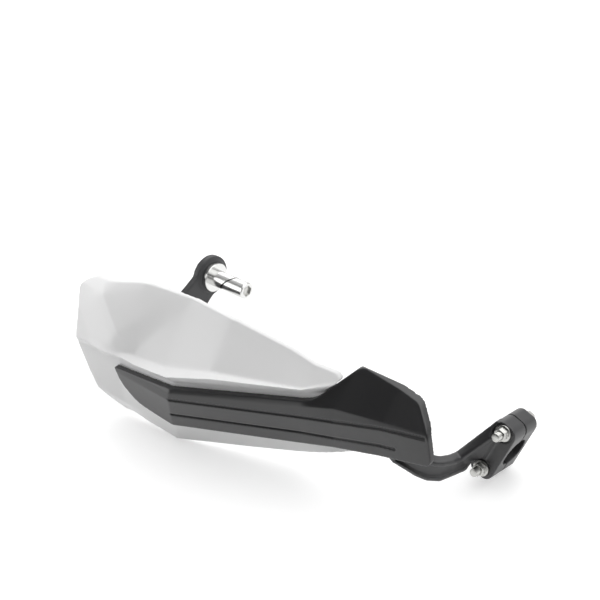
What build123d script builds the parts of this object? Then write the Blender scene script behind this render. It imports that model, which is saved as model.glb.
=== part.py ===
from build123d import *
from math import cos, radians, sin, tan
import os

# Right-hand guard of a motorcycle handlebar, in millimetres.
# Origin: centre of the seat face of the bar end flange, where the handlebar's end meets it.
# +X runs inwards along the bar, -Y is forwards, away from the rider, +Z is up.

# Bar end plug
plug_rise_deg = 8.3
flange_dia = 24.4
flange_thick = 3.6
plug_dia = 14.2
plug_length = 35.5
wedge_cut_centre = 16.6
wedge_cut_run = 12.4
wedge_turn_deg = 48.4
wedge_gap = 0.12
plug_bolt_dia = 5.0
plug_bolt_gap = 0.4
plug_bolt_head_dia = 8.5
plug_bolt_head_height = 5.0
plug_socket_flats = 4.0
plug_socket_depth = 2.5
plug_nut_flats = 8.0
plug_nut_length = 4.7
plug_nut_inset = 2.0
plug_washer_dia = 12.0
washer_thick = 1.2

# Bow, from the eye at the bar end to the first shield screw
eye_radius = 17.0
eye_width = 6.0
eye_boss_radius = 14.0
eye_boss_height = 1.2
eye_sleeve_wall = 1.5
channel_depth = 2.2
bow_end_thick = 6.0

# Shield panel
shield_wall = 2.8
shield_gap = 0.3

# Bumper strip
strip_thick = 4.5
groove_width = 2.2
groove_depth = 1.6

# Inner arm
bar_thick = 4.5
bar_radius = 8.0
bar_pocket_depth = 2.6
bar_rail = 2.4
arm_thick = 8.5
arm_web = 3.5
arm_flange = 3.8
knuckle_radius = 10.0

# Bar clamp on the inner arm
bar_dia = 22.2
clamp_x = 305.9
clamp_y = -25.2
clamp_z = 33.7
clamp_drop_deg = 13.9
clamp_sweep_deg = 1.9
clamp_roll_deg = 16.4
clamp_width = 19.0
clamp_half_length = 23.8
clamp_end_round = 7.0
clamp_split = 0.8
clamp_front_depth = 15.2
clamp_rear_depth = 14.5
clamp_wall = 3.4
clamp_bolt_offset = 17.2
clamp_bolt_dia = 6.0
clamp_bolt_gap = 0.3
clamp_hex_flats = 8.0
clamp_flange_dia = 12.0
clamp_flange_thick = 1.6
clamp_hex_height = 6.0
clamp_stud_out = 4.8
spotface_dia = 14.5
spotface_depth = 0.5

# Shield screws
screw_spacing = 64.1
screw_dia = 6.0
screw_gap = 0.25
thread_gap = 0.05
screw_head_dia = 10.5
screw_head_height = 3.3
screw_socket_flats = 4.0
screw_socket_depth = 1.9
screw_washer_dia = 13.0
insert_wall = 1.6
insert_length = 5.7
boss_wall = 1.8
bush_wall = 1.5
fit_gap = 0.1

os.makedirs("parts", exist_ok=True)


def save(shape, node):
    export_step(shape, f"parts/{node}.step")


# A round bar or a ring along a frame's Z axis, from one height to another
def rod(frame, dia, low, high, x=0.0, y=0.0):
    return frame.location * Pos(x, y, (low + high) / 2) * Cylinder(dia / 2, high - low)


def ring(frame, outer, inner, low, high, x=0.0, y=0.0):
    return rod(frame, outer, low, high, x, y) - rod(frame, inner, low - 1, high + 1, x, y)


def hexagon(frame, flats, low, high, x=0.0, y=0.0):
    prism = extrude(RegularPolygon(flats / 2, 6, major_radius=False), amount=high - low)
    return frame.location * Pos(x, y, low) * prism


def block(frame, x_range, y_range, z_range):
    size = [high - low for low, high in (x_range, y_range, z_range)]
    centre = [(high + low) / 2 for low, high in (x_range, y_range, z_range)]
    return frame.location * Pos(*centre) * Box(*size)


# A rectangle with its corners cut off
def bevelled(width, height, cut):
    x, y = width / 2, height / 2
    return Polygon((x, cut - y), (x, y - cut), (x - cut, y), (cut - x, y), (-x, y - cut), (-x, cut - y),
                   (cut - x, -y), (x - cut, -y), align=None)


def biggest(shape):
    return shape.solids().sort_by(SortBy.VOLUME)[-1]


# More stations between the given ones, on a smooth curve through them
def eased(stations, parts):
    ends = [stations[0]] + stations + [stations[-1]]
    rows = []
    for before, a, b, after in zip(ends, ends[1:], ends[2:], ends[3:]):
        for k in range(parts):
            t = k / parts
            weights = (-t + 2 * t**2 - t**3, 2 - 5 * t**2 + 3 * t**3, t + 4 * t**2 - 3 * t**3, t**3 - t**2)
            rows.append([sum(w * v for w, v in zip(weights, values)) / 2 for values in zip(before, a, b, after)])
    return rows + [list(stations[-1])]


# Frames: the plug along the bar end, the shield screws, and the clamp with X along the bar
plug_axis = Vector(cos(radians(plug_rise_deg)), 0, sin(radians(plug_rise_deg)))
plug = Plane(origin=(0, 0, 0), x_dir=(0, 1, 0), z_dir=plug_axis)
mount = Plane(origin=(163.0, -105.0, 41.6), x_dir=(0.967, 0.2418, 0.0827), z_dir=(0.2425, -0.970, 0))
clamp_level = Vector(cos(radians(clamp_sweep_deg)), -sin(radians(clamp_sweep_deg)), 0)
clamp_axis = clamp_level * cos(radians(clamp_drop_deg)) - Vector(0, 0, sin(radians(clamp_drop_deg)))
clamp_level_front = clamp_axis.cross(Vector(0, 0, 1)).normalized()
clamp_top = clamp_level_front.cross(clamp_axis)
clamp_front = clamp_level_front * cos(radians(clamp_roll_deg)) + clamp_top * sin(radians(clamp_roll_deg))
clamp = Plane(origin=(clamp_x, clamp_y, clamp_z), x_dir=clamp_axis, z_dir=clamp_front)

# Stack of parts along each shield screw
bow_end_face = bar_thick + bow_end_thick
insert_dia = screw_dia + 2 * insert_wall
boss_dia = insert_dia + 2 * boss_wall
bush_dia = screw_dia + 2 * screw_gap + 2 * bush_wall
screw_places = {"outer": (0.0, bow_end_face), "inner": (screw_spacing, bar_thick)}


# Grid surfaces for the two moulded skins
def patch(a, b, c, d):
    return Face.make_surface_from_curves(Edge.make_line(a, b), Edge.make_line(d, c))


def grid_faces(grid):
    faces = []
    for left, right in zip(grid, grid[1:]):
        for row in range(len(left) - 1):
            faces.append(patch(left[row], right[row], right[row + 1], left[row + 1]))
    return faces


def grid_normals(grid):
    last_column = len(grid) - 1
    last_row = len(grid[0]) - 1
    normals = []
    for i, points in enumerate(grid):
        line = []
        for j, point in enumerate(points):
            along = grid[min(i + 1, last_column)][j] - grid[max(i - 1, 0)][j]
            above = (points[max(j - 1, 0)] - point).cross(along)
            below = (point - points[min(j + 1, last_row)]).cross(along)
            sides = [side.normalized() * -1 for side in (above, below) if side.length > 0.001]
            mean = sum(sides, Vector(0, 0, 0)).normalized()
            line.append(mean * (1 / mean.dot(sides[0])))
        normals.append(line)
    return normals


def shifted(grid, distance):
    normals = grid_normals(grid)
    return [[p + n * distance for p, n in zip(points, line)] for points, line in zip(grid, normals)]


def skin(front, back):
    faces = grid_faces(front) + grid_faces(back)
    last = len(front) - 1
    for i in range(last):
        for row in (0, -1):
            faces.append(patch(front[i][row], front[i + 1][row], back[i + 1][row], back[i][row]))
    for row in range(len(front[0]) - 1):
        for i in (0, last):
            faces.append(patch(front[i][row], front[i][row + 1], back[i][row + 1], back[i][row]))
    return Solid(Shell(faces))


def rows_of(*columns):
    return [[Vector(*point) for point in column] for column in columns]


# Character lines of the strip, from its upper edge to its lower edge, at stations along its run.
# The strip is cut to its outline afterwards, so its first and last lines stand past the edges.
strip_front = rows_of(
    [(40.0, -147.6, 34.0), (40.0, -148.9, 28.0), (40.0, -149.4, 24.0), (46.0, -148.0, -12.0)],
    [(100.5, -144.9, 44.0), (101.3, -148.4, 36.5), (101.8, -149.6, 31.0), (97.0, -142.5, -5.0)],
    [(193.0, -108.5, 65.5), (193.8, -111.2, 57.5), (195.3, -112.4, 48.5), (190.8, -107.4, 13.2)],
    [(219.0, -78.6, 89.0), (217.0, -101.6, 63.5), (217.5, -104.6, 53.0), (216.0, -101.0, 19.0)],
    [(252.0, -73.6, 88.5), (252.0, -92.6, 67.6), (252.5, -94.6, 62.2), (252.0, -95.5, 31.5)],
    [(294.0, -73.5, 86.0), (294.0, -84.0, 73.6), (294.3, -85.4, 70.8), (295.0, -92.4, 44.5)],
)
strip_outline = [(43.3, 27.4), (101.0, 39.9), (200.5, 62.9), (221.0, 89.0), (269.3, 84.2), (285.2, 71.9),
                 (293.0, 50.3), (240.0, 33.0), (191.0, 17.8), (97.0, -1.0), (64.0, 3.4), (50.0, 14.5)]
strip_corners = [0, 4.0, 14.0, 9.0, 12.0, 20.0, 5.0, 0, 0, 8.0, 25.0, 20.0]


# A face in the XZ plane with the given corners rounded, pushed through the moulding from front to back
def front_cut(points, radii, grow=0.0, reach=400.0):
    edges = FilletPolyline(*[(x, 0, z) for x, z in points], radius=radii, close=True)
    face = make_face(edges)
    if grow > 0:
        face = offset(face, amount=grow)
    return extrude(face, amount=reach, dir=(0, 1, 0), both=True)


def between(a, b, share):
    return [p + (q - p) * share for p, q in zip(a, b)]


# A straight groove cut between two points of the front, square to it
def groove(start, end, normal):
    run = (end - start).normalized()
    frame = Plane(origin=start, x_dir=run, z_dir=normal - run * normal.dot(run))
    length = (end - start).length
    return block(frame, (-0.5, length + 0.5), (-groove_width / 2, groove_width / 2), (-groove_depth, groove_depth))


def groove_run(share, last_share):
    line = between([c[2] for c in strip_front], [c[3] for c in strip_front], share)
    normals = between([n[2] for n in strip_normals], [n[3] for n in strip_normals], 0.3 + share * 0.4)
    line[-1] = line[-2] + (line[-1] - line[-2]) * last_share
    spans = zip(line[1:], line[2:], normals[1:], normals[2:])
    return [groove(start, end, (m + n).normalized()) for start, end, m, n in spans]


strip_normals = grid_normals(strip_front)
strip_back = shifted(strip_front, -strip_thick)
strip = skin(strip_front, strip_back) & front_cut(strip_outline, strip_corners)
for share, last_share in ((0.0, 0.75), (0.5, 0.28)):
    for cutter in groove_run(share, last_share):
        strip = strip - cutter
strip = biggest(strip)
for x, seat_height in screw_places.values():
    strip = strip + rod(mount, boss_dia, seat_height, seat_height + insert_length, x)
    strip = strip - rod(mount, insert_dia, seat_height, seat_height + insert_length, x)
save(biggest(strip), "bumper_strip")

# Rows of the shield that lie behind the strip run parallel to its back
seat = shifted(strip_front, -strip_thick - shield_gap)


def column(above, behind, below):
    return [Vector(*p) for p in above] + list(behind) + [Vector(*p) for p in below]


shield_front = [
    column([(-19.0, -122.0, 67.0), (-17.3, -129.8, 64.5), (-3.0, -149.6, 36.0), (-1.8, -150.7, 34.0)],
           rows_of([(0.0, -151.0, 31.0), (2.0, -151.2, 27.0), (3.5, -151.3, 24.0), (15.0, -151.6, -4.0)])[0],
           [(24.0, -146.0, -20.0)]),
    column([(-1.5, -118.0, 77.0), (14.5, -128.0, 71.5), (46.0, -145.0, 41.0), (49.2, -148.0, 39.9)],
           seat[0], [(44.0, -132.5, -32.0)]),
    column([(47.5, -112.0, 94.5), (50.0, -117.5, 87.0), (57.0, -139.5, 41.0), (66.0, -148.4, 42.0)],
           between(seat[0], seat[1], 0.33), [(60.0, -132.5, -33.0)]),
    column([(88.0, -105.5, 95.0), (88.5, -110.5, 87.5), (86.0, -136.5, 46.0), (98.6, -148.0, 50.2)],
           seat[1], [(89.0, -132.5, -31.0)]),
    column([(125.0, -104.0, 95.5), (125.0, -109.0, 88.5), (125.5, -129.5, 59.5), (133.0, -137.0, 62.2)],
           between(seat[1], seat[2], 0.33), [(118.0, -122.5, -24.0)]),
    column([(193.0, -91.5, 88.0), (193.0, -96.5, 81.5), (192.5, -108.0, 70.3), (193.2, -110.0, 71.4)],
           seat[2], [(185.5, -100.5, -4.0)]),
    column([(217.0, -80.0, 84.5), (217.0, -83.0, 81.5), (217.0, -85.5, 78.8), (217.0, -87.5, 76.6)],
           [seat[3][0] + (seat[3][1] - seat[3][0]) * 0.6] + seat[3][1:], [(217.0, -100.0, 12.0)]),
    column([(235.0, -76.0, 86.5), (235.0, -78.5, 84.0), (235.0, -80.5, 81.5), (235.0, -82.5, 79.0)],
           between([seat[3][0] + (seat[3][1] - seat[3][0]) * 0.6] + seat[3][1:], seat[4], 0.5),
           [(235.0, -98.0, 18.0)]),
]
shield_outline = [(-12.0, 65.7), (1.0, 74.2), (49.0, 90.5), (128.0, 93.0), (174.0, 87.7), (208.0, 81.0),
                  (213.5, 76.5), (231.0, 25.5), (186.0, 0.3), (147.0, -11.4), (89.5, -27.2), (60.0, -29.0),
                  (38.7, -27.0), (20.3, -3.7), (2.8, 34.5)]
shield_corners = [5.0, 12.0, 40.0, 0, 60.0, 6.0, 3.0, 5.0, 0, 0, 15.0, 15.0, 6.0, 12.0, 15.0]
shield_back = shifted(shield_front, -shield_wall)
shield = skin(shield_front, shield_back) & front_cut(shield_outline, shield_corners)
strip_room = skin(strip_front, seat)
shield = shield - (strip_room & front_cut(strip_outline, strip_corners, shield_gap))
for x, seat_height in screw_places.values():
    shield = shield - rod(mount, boss_dia + 2 * shield_gap, 0, 40, x)
save(biggest(shield), "shield_panel")

# Room kept free behind the two skins
behind_shield = skin(shifted(shield_front, -shield_wall / 2), shifted(shield_front, -shield_wall - shield_gap))
behind_strip = skin(shifted(strip_front, -strip_thick / 2), shifted(strip_front, -strip_thick - shield_gap))

# Bow: x, y, heading, lower and upper edge, thickness, and how far the section leans with the plug
bow_stations = [
    (-7.8, 4.0, -90, -15.5, 15.0, 5.8, 1.0),
    (-7.8, -25.0, -90, -33.0, 2.5, 5.8, 1.0),
    (-7.8, -45.0, -90, -37.0, -4.0, 5.8, 0.7),
    (-7.6, -66.0, -90, -40.0, -0.5, 6.0, 0.3),
    (-6.8, -86.0, -86, -37.5, 7.0, 6.0, 0.0),
    (-2.0, -105.0, -65, -27.0, 15.5, 6.2, 0.0),
    (10.5, -119.5, -35, -12.0, 26.0, 6.5, 0.0),
    (30.5, -127.6, -10, 0.5, 30.5, 6.5, 0.0),
    (60.0, -129.6, 3, 9.0, 36.0, 6.5, 0.0),
    (95.0, -126.3, 10, 22.5, 46.0, 6.5, 0.0),
    (130.0, -119.8, 13, 33.0, 52.0, 6.5, 0.0),
    (164.0, -111.4, 14, 34.5, 51.5, 6.5, 0.0),
    (171.5, -109.5, 14, 34.5, 51.0, 6.5, 0.0),
]


def bow_plane(x, y, heading, low, high, lean):
    travel = Vector(cos(radians(heading)), sin(radians(heading)), 0)
    inward = Vector(-travel.Y, travel.X, 0)
    tilt = radians(plug_rise_deg * lean)
    middle = Vector(x, y, 0) + Vector(0, 0, 1) * (low + high) / 2 - inward * tan(tilt) * (low + high) / 2
    return Plane(origin=middle, x_dir=inward * cos(tilt) + Vector(0, 0, sin(tilt)), z_dir=travel)


bow_sections = []
upper_channel = []
lower_channel = []
for x, y, heading, low, high, thick, lean in eased(bow_stations, 2):
    here = bow_plane(x, y, heading, low, high, lean)
    height = high - low
    bow_sections.append(here * bevelled(thick, height, thick * 0.22))
    upper_channel.append(here * Pos(thick / 2, height * 0.2) * bevelled(2 * channel_depth, height * 0.34, 0.9))
    lower_channel.append(here * Pos(thick / 2, -height * 0.25) * bevelled(channel_depth, height * 0.18, 0.5))
bow = loft(bow_sections, ruled=True)
bow = bow - loft(upper_channel[4:19], ruled=True) - loft(lower_channel[4:19], ruled=True)
bow = bow + rod(plug, 2 * eye_radius, -flange_thick - eye_boss_height - eye_width, -flange_thick - eye_boss_height)
bow = bow + rod(plug, 2 * eye_boss_radius, -flange_thick - eye_boss_height - 1, -flange_thick)
eye_outer = -flange_thick - eye_boss_height - eye_width
sleeve_dia = plug_bolt_dia + 2 * plug_bolt_gap + 2 * eye_sleeve_wall
bow = bow - rod(plug, plug_washer_dia + 2.0, eye_outer - 20, eye_outer)
bow = bow - rod(plug, sleeve_dia + 2 * fit_gap, eye_outer, 0)
bow = bow + block(mount, (-9.0, 9.0), (-8.2, 8.2), (bar_thick, bow_end_face))
bow = bow - block(mount, (-9.3, 40.0), (-20.0, 20.0), (-20.0, bar_thick))
bow = bow - behind_shield
bow = bow - rod(mount, boss_dia + 2 * shield_gap, bow_end_face, bow_end_face + 20)
bow = bow - rod(mount, bush_dia + 2 * fit_gap, bar_thick - 1, bow_end_face + 20)
save(biggest(bow), "outer_bow")
save(ring(mount, bush_dia, screw_dia + 2 * screw_gap, bar_thick, bow_end_face), "spacer_bush")
save(ring(plug, sleeve_dia, plug_bolt_dia + 2 * plug_bolt_gap, eye_outer, -flange_thick), "eye_sleeve")

# Bar end plug: a flanged sleeve cut on the slant, and a wedge that the bolt draws up the slant
wedge_slope = wedge_cut_run / plug_dia
lean_x = -wedge_slope * cos(radians(wedge_turn_deg))
lean_y = -wedge_slope * sin(radians(wedge_turn_deg))
slant = Plane(origin=(0, 0, wedge_cut_centre), z_dir=(lean_x, lean_y, 1))
plug_bore = plug_bolt_dia + 2 * plug_bolt_gap
barrel = Pos(0, 0, plug_length / 2) * Cylinder(plug_dia / 2, plug_length)
barrel = chamfer(barrel.edges().sort_by(Axis.Z)[-1], 0.8)
flange = Pos(0, 0, -flange_thick / 2) * Cylinder(flange_dia / 2, flange_thick)
flange = chamfer(flange.edges(), 0.4)
sleeve = flange + split(barrel, bisect_by=slant.offset(-wedge_gap / 2), keep=Keep.BOTTOM)
sleeve = sleeve - Cylinder(plug_bore / 2, 4 * plug_length)
save(plug.location * sleeve, "bar_end_flange")
nut_seat = plug_length - plug_nut_inset - plug_nut_length
nut_pocket = Pos(0, 0, nut_seat) * extrude(RegularPolygon(plug_nut_flats / 2 + fit_gap, 6, major_radius=False), 20)
wedge = split(barrel, bisect_by=slant.offset(wedge_gap / 2), keep=Keep.TOP)
wedge = wedge - Cylinder(plug_bore / 2, 4 * plug_length) - nut_pocket
save(plug.location * wedge, "expander_wedge")
nut = hexagon(plug, plug_nut_flats, nut_seat, nut_seat + plug_nut_length)
save(nut - rod(plug, plug_bolt_dia + 2 * thread_gap, 0, plug_length), "plug_nut")
washer_face = eye_outer - washer_thick
save(ring(plug, plug_washer_dia, plug_bore, washer_face, eye_outer), "plug_washer")
plug_bolt = rod(plug, plug_bolt_dia, washer_face, plug_length - plug_nut_inset + 0.6)
plug_bolt = plug_bolt + rod(plug, plug_bolt_head_dia, washer_face - plug_bolt_head_height, washer_face)
head_top = washer_face - plug_bolt_head_height
plug_bolt = plug_bolt - hexagon(plug, plug_socket_flats, head_top, head_top + plug_socket_depth)
save(plug_bolt, "plug_bolt")

# Inner arm: mounting bar, knuckle, I-section arm and the front half of the clamp
arm_stations = [
    (236.0, -86.3, 57.0, 19.0, 8.0),
    (246.0, -86.8, 50.0, 18.5, 8.0),
    (254.7, -87.4, 44.5, 18.2, arm_thick),
    (262.8, -86.2, 41.0, 18.0, arm_thick),
    (270.4, -83.4, 38.1, 18.1, arm_thick),
    (276.8, -79.6, 34.3, 19.4, arm_thick),
    (282.1, -75.8, 31.5, 19.3, arm_thick),
    (286.4, -70.8, 30.0, 18.4, arm_thick),
    (289.4, -63.0, 29.3, 15.5, arm_thick),
    (291.8, -52.9, 28.2, 15.4, arm_thick),
]
arm_points = [Vector(x, y, z) for x, y, z, height, thick in arm_stations]
arm_points.append(clamp.from_local_coords(Vector(-4.5, 3.5, clamp_front_depth + 1)))
arm_points.append(clamp.from_local_coords(Vector(-4.5, 3.5, clamp_front_depth - 5)))
arm_sizes = [(height, thick) for x, y, z, height, thick in arm_stations] + [(37.0, arm_thick), (38.0, arm_thick)]
arm_planes = []
for i, point in enumerate(arm_points[:-2]):
    travel = arm_points[i + 1] - arm_points[max(i - 1, 0)]
    arm_planes.append(Plane(origin=point, x_dir=(-travel.Y, travel.X, 0), z_dir=travel))
arm_planes += [Plane(origin=p, x_dir=-clamp.x_dir, z_dir=-clamp.z_dir) for p in arm_points[-2:]]

# Half of the clamp, seen along the bar: lugs and the wall round the bore
def clamp_half(depth, side):
    lugs = Box(clamp_width, 2 * clamp_half_length, depth)
    lugs = Pos(0, 0, side * depth / 2) * lugs
    hub = Rot(0, 90, 0) * Cylinder(bar_dia / 2 + clamp_wall, clamp_width)
    outline = extrude(RectangleRounded(clamp_width, 2 * clamp_half_length, clamp_end_round), 60, both=True)
    body = (lugs + hub) & outline & (Pos(0, 0, side * (30 + clamp_split / 2)) * Box(60, 60, 60))
    body = body - Rot(0, 90, 0) * Cylinder(bar_dia / 2, 2 * clamp_width)
    return clamp.location * body


arm_sections = list(zip(arm_planes, arm_sizes))
arm = loft([here * bevelled(thick, height, 1.2) for here, (height, thick) in arm_sections], ruled=True)
bar_outline = extrude(SlotCenterToCenter(screw_spacing + 14.0, 2 * bar_radius), bar_thick)
arm = arm + mount.location * Pos((screw_spacing + 14.0) / 2, 0, 0) * bar_outline
arm = arm + rod(mount, 2 * knuckle_radius, -3.5, bar_thick + 0.8, screw_spacing + 14.5, 6.0)
arm = arm - clamp.location * Pos(0, 0, -40 + clamp_split / 2) * Box(80, 80, 80)
arm = arm + clamp_half(clamp_front_depth, 1)
for side in (-1, 1):
    recess = []
    for here, (height, thick) in arm_sections[3:11]:
        reach = thick / 2
        middle = side * (arm_web / 2 + reach / 2)
        recess.append(here * Pos(middle, 0) * bevelled(reach, height - 2 * arm_flange, 0.9))
    arm = arm - loft(recess, ruled=True)
arm = arm - clamp.location * Rot(0, 90, 0) * Cylinder(bar_dia / 2, 2 * clamp_width)
arm = arm - block(mount, (11.0, screw_spacing - 11.0), (bar_rail - bar_radius, bar_radius - bar_rail), (-1, bar_pocket_depth))
for x, seat_height in screw_places.values():
    arm = arm - rod(mount, screw_dia + 2 * screw_gap, -20, 20, x)
    arm = arm - rod(mount, screw_washer_dia + 1.0, -20, 0, x)
cap = clamp_half(clamp_rear_depth, -1)
nut_face = clamp_front_depth - spotface_depth
head_face = -clamp_rear_depth + spotface_depth
for name, y in (("upper", clamp_bolt_offset), ("lower", -clamp_bolt_offset)):
    hole = rod(clamp, clamp_bolt_dia + 2 * clamp_bolt_gap, -60, 60, 0, y)
    arm = arm - hole - rod(clamp, spotface_dia, nut_face, 60, 0, y)
    cap = cap - hole - rod(clamp, spotface_dia, -60, head_face, 0, y)
    bolt = rod(clamp, clamp_bolt_dia, head_face, nut_face + clamp_hex_height + clamp_stud_out, 0, y)
    bolt = bolt + rod(clamp, clamp_flange_dia, head_face - clamp_flange_thick, head_face, 0, y)
    bolt = bolt + hexagon(clamp, clamp_hex_flats, head_face - clamp_hex_height, head_face, 0, y)
    save(bolt, f"clamp_bolt_{name}")
    nut = rod(clamp, clamp_flange_dia, nut_face, nut_face + clamp_flange_thick, 0, y)
    nut = nut + hexagon(clamp, clamp_hex_flats, nut_face, nut_face + clamp_hex_height, 0, y)
    nut = nut - rod(clamp, clamp_bolt_dia + 2 * thread_gap, nut_face - 1, nut_face + 20, 0, y)
    save(nut, f"clamp_nut_{name}")
save(biggest(cap), "clamp_cap")
arm = arm - behind_strip - behind_shield
save(biggest(arm), "inner_arm")

# Shield screws with their washers and the inserts they pull on
for name, (x, seat_height) in screw_places.items():
    save(ring(mount, screw_washer_dia, screw_dia + 2 * screw_gap, -washer_thick, 0, x), f"screw_washer_{name}")
    insert = ring(mount, insert_dia, screw_dia + 2 * thread_gap, seat_height, seat_height + insert_length, x)
    save(insert, f"strip_insert_{name}")
    under_head = -washer_thick
    head = Cylinder(screw_head_dia / 2, screw_head_height)
    head = chamfer(head.edges().sort_by(Axis.Z)[0], screw_head_height * 0.55, screw_head_height * 0.7)
    screw = mount.location * Pos(x, 0, under_head - screw_head_height / 2) * head
    screw = screw + rod(mount, screw_dia, under_head, seat_height + insert_length - 0.4, x)
    top = under_head - screw_head_height
    screw = screw - hexagon(mount, screw_socket_flats, top, top + screw_socket_depth, x)
    save(screw, f"shield_screw_{name}")
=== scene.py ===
import math

import bpy
from mathutils import Euler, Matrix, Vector
from mathutils.kdtree import KDTree


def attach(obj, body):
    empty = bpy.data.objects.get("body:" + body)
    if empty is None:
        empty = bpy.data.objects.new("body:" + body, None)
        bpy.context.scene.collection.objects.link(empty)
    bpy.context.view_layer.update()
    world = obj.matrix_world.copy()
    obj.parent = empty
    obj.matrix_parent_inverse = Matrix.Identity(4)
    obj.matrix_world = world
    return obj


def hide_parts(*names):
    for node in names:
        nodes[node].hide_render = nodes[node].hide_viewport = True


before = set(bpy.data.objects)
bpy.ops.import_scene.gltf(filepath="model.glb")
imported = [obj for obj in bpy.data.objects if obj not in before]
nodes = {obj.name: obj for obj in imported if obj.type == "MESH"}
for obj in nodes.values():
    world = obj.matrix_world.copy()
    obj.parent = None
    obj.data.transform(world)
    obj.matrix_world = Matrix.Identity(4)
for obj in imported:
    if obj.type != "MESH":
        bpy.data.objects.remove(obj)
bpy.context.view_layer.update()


def makeActive(piece):
    bpy.ops.object.select_all(action="DESELECT")
    piece.select_set(True)
    bpy.context.view_layer.objects.active = piece


def addNode(tree, kind, operation=None, values=None):
    node = tree.nodes.new(kind)
    if operation:
        node.operation = operation
    for socket, value in (values or {}).items():
        node.inputs[socket].default_value = value
    return node


# Camera
cameraSettings = {
    "place": (0.6897, -0.6535, 0.7570),
    "tiltDeg": 50.52,
    "headingDeg": 42.41,
    "lensMm": 88.67,
    "sensorMm": 36.0,
}


def placeCamera(settings):
    cameraData = bpy.data.cameras.new("camera")
    cameraData.lens = settings["lensMm"]
    cameraData.sensor_width = settings["sensorMm"]
    cameraObject = bpy.data.objects.new("camera", cameraData)
    tilt = math.radians(settings["tiltDeg"])
    heading = math.radians(settings["headingDeg"])
    cameraObject.location = settings["place"]
    cameraObject.rotation_euler = (tilt, 0, heading)
    bpy.context.scene.collection.objects.link(cameraObject)
    bpy.context.scene.camera = cameraObject


placeCamera(cameraSettings)
bpy.context.scene.view_settings.view_transform = "Standard"

# Pale floor, tilted because the guard lies on its shield, its bow and the clamp's lower end
floorSettings = {
    "size": 12.0,
    "middle": (0.14, -0.06),
    "height": -0.0368,         # where X is 0, under the lowest edge of the bow
    "slopes": (0.132, 0.033),  # its rise along X and along Y
    "colour": (0.84, 0.84, 0.84, 1),
    "roughness": 0.9,
    "glow": 0.34,
}


def paperMaterial(settings):
    material = bpy.data.materials.new("floorPaper")
    material.use_nodes = True
    tree = material.node_tree
    link = tree.links.new
    shader = tree.nodes["Principled BSDF"]
    shader.inputs["Base Color"].default_value = settings["colour"]
    shader.inputs["Roughness"].default_value = settings["roughness"]
    # the camera and reflections see the paper a little lighter, so that only the shadow falls under white
    path = addNode(tree, "ShaderNodeLightPath")
    seen = addNode(tree, "ShaderNodeMath", "MAXIMUM")
    link(path.outputs["Is Camera Ray"], seen.inputs[0])
    link(path.outputs["Is Glossy Ray"], seen.inputs[1])
    strength = addNode(tree, "ShaderNodeMath", "MULTIPLY", {1: settings["glow"]})
    link(seen.outputs[0], strength.inputs[0])
    glow = addNode(tree, "ShaderNodeEmission")
    link(strength.outputs[0], glow.inputs["Strength"])
    both = addNode(tree, "ShaderNodeAddShader")
    link(shader.outputs[0], both.inputs[0])
    link(glow.outputs[0], both.inputs[1])
    link(both.outputs[0], tree.nodes["Material Output"].inputs["Surface"])
    return material


def layFloor(settings):
    bpy.ops.mesh.primitive_plane_add(size=settings["size"])
    floor = bpy.context.object
    floor.name = "floor"
    middleX, middleY = settings["middle"]
    slopeX, slopeY = settings["slopes"]
    floor.location = (middleX, middleY, settings["height"] + middleX * slopeX)
    floor.rotation_euler = (math.atan(slopeY), -math.atan(slopeX), 0)
    floor.data.materials.append(paperMaterial(settings))


layFloor(floorSettings)

# The room is dark in front of the guard, light above and behind it
roomSettings = {
    "brightSide": (0.0, 0.6, 0.8),
    # place between the dark side at 0 and the bright side at 1, and the tone there
    "tones": {0.40: 0.02, 0.55: 0.07, 0.75: 0.60, 1.0: 0.95},
    "strength": 1.0,
}


def lightRoom(settings):
    world = bpy.data.worlds.new("room")
    world.use_nodes = True
    bpy.context.scene.world = world
    tree = world.node_tree
    link = tree.links.new
    look = addNode(tree, "ShaderNodeTexCoord")
    towards = addNode(tree, "ShaderNodeVectorMath", "DOT_PRODUCT", {1: settings["brightSide"]})
    link(look.outputs["Generated"], towards.inputs[0])
    fromDarkToBright = addNode(tree, "ShaderNodeMath", "MULTIPLY_ADD", {1: 0.5, 2: 0.5})
    link(towards.outputs["Value"], fromDarkToBright.inputs[0])
    tones = addNode(tree, "ShaderNodeValToRGB")
    link(fromDarkToBright.outputs[0], tones.inputs["Fac"])
    stops = tones.color_ramp.elements
    while len(stops) < len(settings["tones"]):
        stops.new(0.5)
    for stop, (position, tone) in zip(stops, settings["tones"].items()):
        stop.position = position
        stop.color = (tone, tone, tone, 1)
    roomLight = tree.nodes["Background"]
    roomLight.inputs["Strength"].default_value = settings["strength"]
    link(tones.outputs["Color"], roomLight.inputs["Color"])
    # the camera sees plain white instead
    white = addNode(tree, "ShaderNodeBackground", values={"Color": (1, 1, 1, 1)})
    path = addNode(tree, "ShaderNodeLightPath")
    seen = addNode(tree, "ShaderNodeMixShader")
    link(path.outputs["Is Camera Ray"], seen.inputs["Fac"])
    link(roomLight.outputs[0], seen.inputs[1])
    link(white.outputs[0], seen.inputs[2])
    link(seen.outputs[0], tree.nodes["World Output"].inputs["Surface"])


lightRoom(roomSettings)

lampSettings = {
    "softboxAbove": {
        "place": (0.35, 0.25, 1.30), "target": (0.14, -0.06, 0.03), "size": (2.2, 1.8), "watts": 13.0,
    },
    "softboxLeft": {
        "place": (-1.10, -0.85, 0.24), "target": (0.14, -0.08, 0.03), "size": (2.0, 0.9), "watts": 11.5,
    },
    "softboxBehind": {
        "place": (-0.95, 0.90, 0.60), "target": (0.14, -0.06, 0.03), "size": (1.4, 0.9), "watts": 5.0,
    },
}


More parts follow.
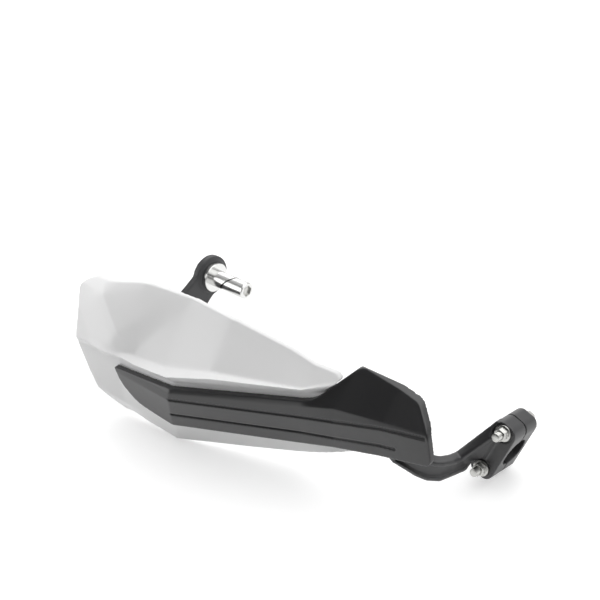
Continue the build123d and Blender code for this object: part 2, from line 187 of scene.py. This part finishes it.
def addLamp(name, settings):
    lampData = bpy.data.lights.new(name, "AREA")
    lampData.shape = "RECTANGLE"
    lampData.size, lampData.size_y = settings["size"]
    lampData.energy = settings["watts"]
    lamp = bpy.data.objects.new(name, lampData)
    lamp.location = settings["place"]
    aim = Vector(settings["target"]) - Vector(settings["place"])
    lamp.rotation_euler = aim.to_track_quat("-Z", "Y").to_euler()
    bpy.context.scene.collection.objects.link(lamp)


for lampName, settings in lampSettings.items():
    addLamp(lampName, settings)
print("camera, floor and lamps ready")

# Shader groups
floatSocket = "NodeSocketFloat"
colourSocket = "NodeSocketColor"


def newGroup(name, inputs, outputs):
    group = bpy.data.node_groups.new(name, "ShaderNodeTree")
    for socketName, kind, value in inputs:
        socket = group.interface.new_socket(socketName, in_out="INPUT", socket_type=kind)
        socket.default_value = value
    for socketName, kind in outputs:
        group.interface.new_socket(socketName, in_out="OUTPUT", socket_type=kind)
    return group, group.nodes.new("NodeGroupInput"), group.nodes.new("NodeGroupOutput")


def unevenGloss(group, pattern, given, made):
    # the roughness follows a pattern by the group's own amount
    gloss = addNode(group, "ShaderNodeMath", "MULTIPLY_ADD")
    group.links.new(pattern, gloss.inputs[0])
    group.links.new(given.outputs["Uneven"], gloss.inputs[1])
    group.links.new(given.outputs["Roughness"], gloss.inputs[2])
    group.links.new(gloss.outputs[0], made.inputs["Roughness"])


def buildGrainGroup():
    # fine grain of a moulded or plated surface: a height for the bump and a little unevenness in gloss
    inputs = [
        ("Scale", floatSocket, 900.0),
        ("Roughness", floatSocket, 0.4),
        ("Uneven", floatSocket, 0.06),
    ]
    outputs = [("Height", floatSocket), ("Roughness", floatSocket)]
    group, given, made = newGroup("mouldedGrain", inputs, outputs)
    link = group.links.new
    place = addNode(group, "ShaderNodeTexCoord")
    fine = addNode(group, "ShaderNodeTexNoise", values={"Detail": 3.0, "Roughness": 0.6})
    link(place.outputs["Object"], fine.inputs["Vector"])
    link(given.outputs["Scale"], fine.inputs["Scale"])
    link(fine.outputs["Fac"], made.inputs["Height"])
    broad = addNode(group, "ShaderNodeTexNoise", values={"Scale": 22.0, "Detail": 4.0})
    link(place.outputs["Object"], broad.inputs["Vector"])
    centred = addNode(group, "ShaderNodeMath", "SUBTRACT", {1: 0.5})
    link(broad.outputs["Fac"], centred.inputs[0])
    unevenGloss(group, centred.outputs[0], given, made)
    return group


# The bar end plug's axis rises along X from the origin, and a slanted cut divides it
plugSettings = {
    "riseDeg": 8.3,
    "diameterMm": 14.2,
    "cutCentreMm": 16.6,  # along the axis
    "cutRunMm": 12.4,     # the cut's length along the axis
    "cutTurnDeg": 48.4,
    "cutShadeMm": 1.2,     # width of the dark line painted along the cut, as the shade in and beside its narrow gap
    # the near black of the painted shade along the cut
    "cutShadeColour": (0.01, 0.01, 0.01, 1),
}


def plugCutPlane():
    # the cut's normal and its distance from the origin
    slant = math.atan2(plugSettings["cutRunMm"], plugSettings["diameterMm"])
    turn = math.radians(plugSettings["cutTurnDeg"])
    across = math.sin(slant)
    normal = Vector((math.cos(slant), -across * math.cos(turn), -across * math.sin(turn)))
    normal.rotate(Euler((0, -math.radians(plugSettings["riseDeg"]), 0)))
    return normal, math.cos(slant) * plugSettings["cutCentreMm"] / 1000


def buildTurnedGroup():
    # fine rings left by a lathe round the plug's axis, and a dark line of painted shade along the slanted
    # cut through the plug
    inputs = [
        ("Pitch", floatSocket, 5200.0),
        ("Roughness", floatSocket, 0.2),
        ("Uneven", floatSocket, 0.1),
        ("Colour", colourSocket, (0.7, 0.7, 0.7, 1)),
        ("Cut Shade Half Width", floatSocket, plugSettings["cutShadeMm"] / 2000),
    ]
    outputs = [("Height", floatSocket), ("Roughness", floatSocket), ("Colour", colourSocket)]
    group, given, made = newGroup("turnedRingsCutShade", inputs, outputs)
    link = group.links.new
    place = addNode(group, "ShaderNodeTexCoord")
    turned = addNode(group, "ShaderNodeMapping")
    turned.inputs["Rotation"].default_value = (0, math.radians(plugSettings["riseDeg"]), 0)
    link(place.outputs["Object"], turned.inputs["Vector"])
    split = addNode(group, "ShaderNodeSeparateXYZ")
    link(turned.outputs["Vector"], split.inputs[0])
    along = addNode(group, "ShaderNodeMath", "MULTIPLY")
    link(split.outputs["X"], along.inputs[0])
    link(given.outputs["Pitch"], along.inputs[1])
    rings = addNode(group, "ShaderNodeTexNoise", values={"Scale": 1.0, "Detail": 2.0})
    rings.noise_dimensions = "1D"
    link(along.outputs[0], rings.inputs["W"])
    link(rings.outputs["Fac"], made.inputs["Height"])
    unevenGloss(group, rings.outputs["Fac"], given, made)
    cutNormal, cutDistance = plugCutPlane()
    slant = addNode(group, "ShaderNodeVectorMath", "DOT_PRODUCT", {1: cutNormal})
    link(place.outputs["Object"], slant.inputs[0])
    offCut = addNode(group, "ShaderNodeMath", "SUBTRACT", {1: cutDistance})
    link(slant.outputs["Value"], offCut.inputs[0])
    distance = addNode(group, "ShaderNodeMath", "ABSOLUTE")
    link(offCut.outputs[0], distance.inputs[0])
    inCutShade = addNode(group, "ShaderNodeMath", "LESS_THAN")
    link(distance.outputs[0], inCutShade.inputs[0])
    link(given.outputs["Cut Shade Half Width"], inCutShade.inputs[1])
    # painted shade: inside the line the alloy's colour gives way to near black, for the shade in and beside
    # the cut's gap
    tone = addNode(group, "ShaderNodeMix")
    tone.data_type = "RGBA"
    tone.inputs["B"].default_value = plugSettings["cutShadeColour"]
    link(inCutShade.outputs[0], tone.inputs["Factor"])
    link(given.outputs["Colour"], tone.inputs["A"])
    link(tone.outputs["Result"], made.inputs["Colour"])
    return group


grainGroup = buildGrainGroup()
turnedGroup = buildTurnedGroup()

# Surfaces
surfaceSettings = {
    "whiteShield": {
        "colour": (0.84, 0.84, 0.84), "group": grainGroup, "bumpMm": 0.1, "bumpStrength": 0.1,
        "detail": {"Scale": 500.0, "Roughness": 0.34, "Uneven": 0.05},
    },
    "blackStrip": {
        "colour": (0.011, 0.011, 0.012), "group": grainGroup, "bumpMm": 0.1, "bumpStrength": 0.25,
        "detail": {"Scale": 1500.0, "Roughness": 0.34, "Uneven": 0.08},
        "shader": {"Specular IOR Level": 0.8},
    },
    "blackBow": {
        "colour": (0.032, 0.032, 0.034), "group": grainGroup, "bumpMm": 0.1, "bumpStrength": 0.35,
        "detail": {"Scale": 1100.0, "Roughness": 0.46, "Uneven": 0.08},
    },
    "blackCasting": {
        "colour": (0.022, 0.022, 0.024), "group": grainGroup, "bumpMm": 0.1, "bumpStrength": 0.25,
        "detail": {"Scale": 700.0, "Roughness": 0.40, "Uneven": 0.08},
        "shader": {"Specular IOR Level": 0.8},
    },
    "turnedAlloy": {
        "colour": (0.72, 0.72, 0.71), "group": turnedGroup, "bumpMm": 0.05, "bumpStrength": 0.3,
        "detail": {"Pitch": 5200.0, "Roughness": 0.15, "Uneven": 0.12},
        "shader": {"Metallic": 1.0},
    },
    "zincPlate": {
        "colour": (0.55, 0.55, 0.53), "group": grainGroup, "bumpMm": 0.05, "bumpStrength": 0.3,
        "detail": {"Scale": 900.0, "Roughness": 0.28, "Uneven": 0.12},
        "shader": {"Metallic": 1.0},
    },
    "plainBrass": {
        "colour": (0.60, 0.45, 0.20), "group": grainGroup, "bumpMm": 0.05, "bumpStrength": 0.3,
        "detail": {"Scale": 900.0, "Roughness": 0.32, "Uneven": 0.1},
        "shader": {"Metallic": 1.0},
    },
}


def surfaceMaterial(name, settings):
    colour = (*settings["colour"], 1)
    material = bpy.data.materials.new(name)
    material.use_nodes = True
    tree = material.node_tree
    shader = tree.nodes["Principled BSDF"]
    shader.inputs["Base Color"].default_value = colour
    for socketName, value in settings.get("shader", {}).items():
        shader.inputs[socketName].default_value = value
    detail = tree.nodes.new("ShaderNodeGroup")
    detail.node_tree = settings["group"]
    for socketName, value in settings["detail"].items():
        detail.inputs[socketName].default_value = value
    bump = tree.nodes.new("ShaderNodeBump")
    bump.inputs["Distance"].default_value = settings["bumpMm"] / 1000
    bump.inputs["Strength"].default_value = settings["bumpStrength"]
    tree.links.new(detail.outputs["Height"], bump.inputs["Height"])
    tree.links.new(bump.outputs["Normal"], shader.inputs["Normal"])
    tree.links.new(detail.outputs["Roughness"], shader.inputs["Roughness"])
    if "Colour" in detail.outputs:
        detail.inputs["Colour"].default_value = colour
        tree.links.new(detail.outputs["Colour"], shader.inputs["Base Color"])
    return material


surfaces = {name: surfaceMaterial(name, settings) for name, settings in surfaceSettings.items()}
print("surfaces:", len(surfaces))

# Mouldings and castings with eased folds and edges
easedPieces = {
    "shield_panel": {
        "grainMm": 0.8, "foldRounds": 14, "edgeRounds": 7, "rimMm": 3.0, "sharpDeg": 48, "keepShare": 0.5,
        # its wall is thicker while it is rebuilt, so that its thin ledge stays whole
        "swellMm": 0.4,
        # the hollow above the strip is one soft surface
        "calmArea": {"aboveMm": 45.0, "fadeMm": 8.0, "facing": 0.6, "edgeGapMm": 3.0, "rounds": 120},
        # the fold beside the outer facet stands a little further out: its ends in X and Z, how far it
        # moves, how far its two slopes reach, and where along it the move sets in and fades
        "raisedFold": {
            "upperMm": (12.0, 79.4), "lowerMm": (54.2, 45.7), "outMm": 6.5, "outerMm": 30.0, "innerMm": 64.0,
            "startShare": -0.25, "startFade": 0.45, "endShare": 1.05, "endFade": 0.35,
        },
    },
    "bumper_strip": {
        "grainMm": 0.5, "foldRounds": 10, "edgeRounds": 11, "rimMm": 1.5, "sharpDeg": 40, "keepShare": 0.45,
    },
    "outer_bow": {
        "grainMm": 0.6, "foldRounds": 24, "edgeRounds": 6, "rimMm": 1.2, "sharpDeg": 50, "keepShare": 0.5,
    },
    "inner_arm": {
        "grainMm": 0.45, "foldRounds": 30, "edgeRounds": 5, "rimMm": 1.0, "sharpDeg": 50, "keepShare": 0.45,
    },
    "clamp_cap": {
        "grainMm": 0.4, "foldRounds": 4, "edgeRounds": 4, "rimMm": 1.0, "sharpDeg": 50, "keepShare": 0.6,
    },
}
mergeDistance = 0.00002
edgePointSpacing = 0.001
smoothingFactor = 0.5
crispShare = 0.3  # of the rim, beside a crisp edge, that the folds' smoothing leaves alone


def mergedCopy(nodeName):
    piece = bpy.data.objects.new(nodeName + "_eased", nodes[nodeName].data.copy())
    bpy.context.scene.collection.objects.link(piece)
    makeActive(piece)
    bpy.ops.object.mode_set(mode="EDIT")
    bpy.ops.mesh.select_all(action="SELECT")
    bpy.ops.mesh.remove_doubles(threshold=mergeDistance)
    bpy.ops.object.mode_set(mode="OBJECT")
    return piece


def crispEdgeTree(piece, sharpDeg):
    # points along the edges that stay crisp, to measure distances from
    bpy.ops.object.mode_set(mode="EDIT")
    bpy.ops.mesh.select_mode(type="EDGE")
    bpy.ops.mesh.select_all(action="DESELECT")
    bpy.ops.mesh.edges_select_sharp(sharpness=math.radians(sharpDeg))
    bpy.ops.object.mode_set(mode="OBJECT")
    points = []
    for edge in piece.data.edges:
        if edge.select:
            start, end = (piece.data.vertices[i].co for i in edge.vertices)
            steps = max(1, int((end - start).length / edgePointSpacing))
            points += [start.lerp(end, step / steps) for step in range(steps + 1)]
    tree = KDTree(len(points))
    for index, point in enumerate(points):
        tree.insert(point, index)
    tree.balance()
    return tree


def applyAll(piece):
    makeActive(piece)
    for modifier in list(piece.modifiers):
        bpy.ops.object.modifier_apply(modifier=modifier.name)


def addSmoothing(piece, name, rounds, groupName=""):
    smoothing = piece.modifiers.new(name, "SMOOTH")
    smoothing.factor = smoothingFactor
    smoothing.iterations = rounds
    smoothing.vertex_group = groupName


def moveSurface(piece, distanceMm, direction="NORMAL", groupName=""):
    move = piece.modifiers.new("move", "DISPLACE")
    move.direction = direction
    move.mid_level = 0
    move.strength = distanceMm / 1000
    move.vertex_group = groupName
    applyAll(piece)


def smoothStep(value):
    value = max(0.0, min(1.0, value))
    return value * value * (3 - 2 * value)


def largestShell(piece):
    # the rebuild can leave crumbs at sharp corners
    name = piece.name
    makeActive(piece)
    bpy.ops.object.mode_set(mode="EDIT")
    bpy.ops.mesh.select_all(action="SELECT")
    bpy.ops.mesh.separate(type="LOOSE")
    bpy.ops.object.mode_set(mode="OBJECT")
    shells = sorted(bpy.context.selected_objects, key=lambda shell: len(shell.data.vertices))
    for crumb in shells[:-1]:
        bpy.data.objects.remove(crumb)
    shells[-1].name = name
    return shells[-1]


def rebuildMesh(piece, grainMm, swellMm):
    # an even mesh takes the place of the solid's long triangles
    if swellMm:
        moveSurface(piece, swellMm)
    rebuild = piece.modifiers.new("rebuild", "REMESH")
    rebuild.mode = "VOXEL"
    rebuild.voxel_size = grainMm / 1000
    applyAll(piece)
    piece = largestShell(piece)
    if swellMm:
        moveSurface(piece, -swellMm)
    return piece


def calmArea(piece, area, crispTree):
    edgeGap = area["edgeGapMm"] / 1000
    group = piece.vertex_groups.new(name="calmArea")
    for vertex in piece.data.vertices:
        high = smoothStep((vertex.co.z * 1000 - area["aboveMm"]) / area["fadeMm"])
        upright = abs(vertex.normal.y) > area["facing"]
        if high > 0 and upright and crispTree.find(vertex.co)[2] > edgeGap:
            group.add([vertex.index], high, "REPLACE")
    addSmoothing(piece, "calmArea", area["rounds"], "calmArea")
    applyAll(piece)


def raiseFold(piece, fold):
    # both faces of the wall move forwards together, most on the fold's line
    upper, lower = (Vector([mm / 1000 for mm in fold[end]]) for end in ("upperMm", "lowerMm"))
    run = (lower - upper).length
    along = (lower - upper) / run
    group = piece.vertex_groups.new(name="raisedFold")
    for vertex in piece.data.vertices:
        offset = Vector((vertex.co.x, vertex.co.z)) - upper
        share = offset.dot(along) / run
        side = offset.x * along.y - offset.y * along.x
        reach = fold["innerMm"] if side < 0 else fold["outerMm"]
        near = 1 - abs(side) * 1000 / reach
        begun = smoothStep((share - fold["startShare"]) / fold["startFade"])
        ends = begun * smoothStep((fold["endShare"] - share) / fold["endFade"])
        if near > 0 and ends > 0:
            group.add([vertex.index], ends * (near * near if side < 0 else near), "REPLACE")
    moveSurface(piece, -fold["outMm"], "Y", "raisedFold")


def easeFolds(piece, settings, crispTree):
    # the folds are rounded away from the crisp edges, then the edges themselves a little
    folds = piece.vertex_groups.new(name="folds")
    rim = settings["rimMm"] / 1000
    for vertex in piece.data.vertices:
        distance = crispTree.find(vertex.co)[2]
        if distance > crispShare * rim:
            folds.add([vertex.index], min(1.0, distance / rim - crispShare), "REPLACE")
    addSmoothing(piece, "easeFolds", settings["foldRounds"], "folds")
    addSmoothing(piece, "softenEdges", settings["edgeRounds"])
    thin = piece.modifiers.new("thin", "DECIMATE")
    thin.ratio = settings["keepShare"]
    applyAll(piece)


def easedCopy(nodeName, settings):
    piece = mergedCopy(nodeName)
    crispTree = crispEdgeTree(piece, settings["sharpDeg"])
    piece = rebuildMesh(piece, settings["grainMm"], settings.get("swellMm", 0))
    if "calmArea" in settings:
        calmArea(piece, settings["calmArea"], crispTree)
    if "raisedFold" in settings:
        raiseFold(piece, settings["raisedFold"])
    easeFolds(piece, settings, crispTree)
    piece.vertex_groups.clear()
    bpy.ops.object.shade_smooth()
    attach(piece, "root")
    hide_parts(nodeName)
    return piece


easedObjects = {nodeName: easedCopy(nodeName, settings) for nodeName, settings in easedPieces.items()}
print("eased pieces:", {name: len(piece.data.polygons) for name, piece in easedObjects.items()})

# Fasteners keep their solids' shapes, with their edges broken
fastenerKinds = ("clamp_bolt", "clamp_nut", "shield_screw", "screw_washer", "plug_bolt")
fastenerNames = [name for name in nodes if name.startswith(fastenerKinds)]
brokenEdges = {"widthMm": 0.25, "segments": 2, "angleDeg": 25, "shadeDeg": 30}


def brokenEdgeCopy(nodeName):
    piece = mergedCopy(nodeName)
    bevel = piece.modifiers.new("brokenEdges", "BEVEL")
    bevel.width = brokenEdges["widthMm"] / 1000
    bevel.segments = brokenEdges["segments"]
    bevel.limit_method = "ANGLE"
    bevel.angle_limit = math.radians(brokenEdges["angleDeg"])
    applyAll(piece)
    bpy.ops.object.shade_smooth_by_angle(angle=math.radians(brokenEdges["shadeDeg"]))
    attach(piece, "root")
    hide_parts(nodeName)
    return piece


fastenerObjects = {nodeName: brokenEdgeCopy(nodeName) for nodeName in fastenerNames}
print("fasteners:", len(fastenerObjects))

# What each piece is made of; the rest is zinc plated steel
finishes = {
    "shield_panel": "whiteShield",
    "bumper_strip": "blackStrip",
    "outer_bow": "blackBow",
    "inner_arm": "blackCasting",
    "clamp_cap": "blackCasting",
    "bar_end_flange": "turnedAlloy",
    "expander_wedge": "turnedAlloy",
    "eye_sleeve": "turnedAlloy",
    "spacer_bush": "turnedAlloy",
    "strip_insert_outer": "plainBrass",
    "strip_insert_inner": "plainBrass",
}
for nodeName, node in nodes.items():
    surface = surfaces[finishes.get(nodeName, "zincPlate")]
    for piece in (node, easedObjects.get(nodeName), fastenerObjects.get(nodeName)):
        if piece:
            piece.data.materials.clear()
            piece.data.materials.append(surface)
print("materials on", len(nodes), "nodes")
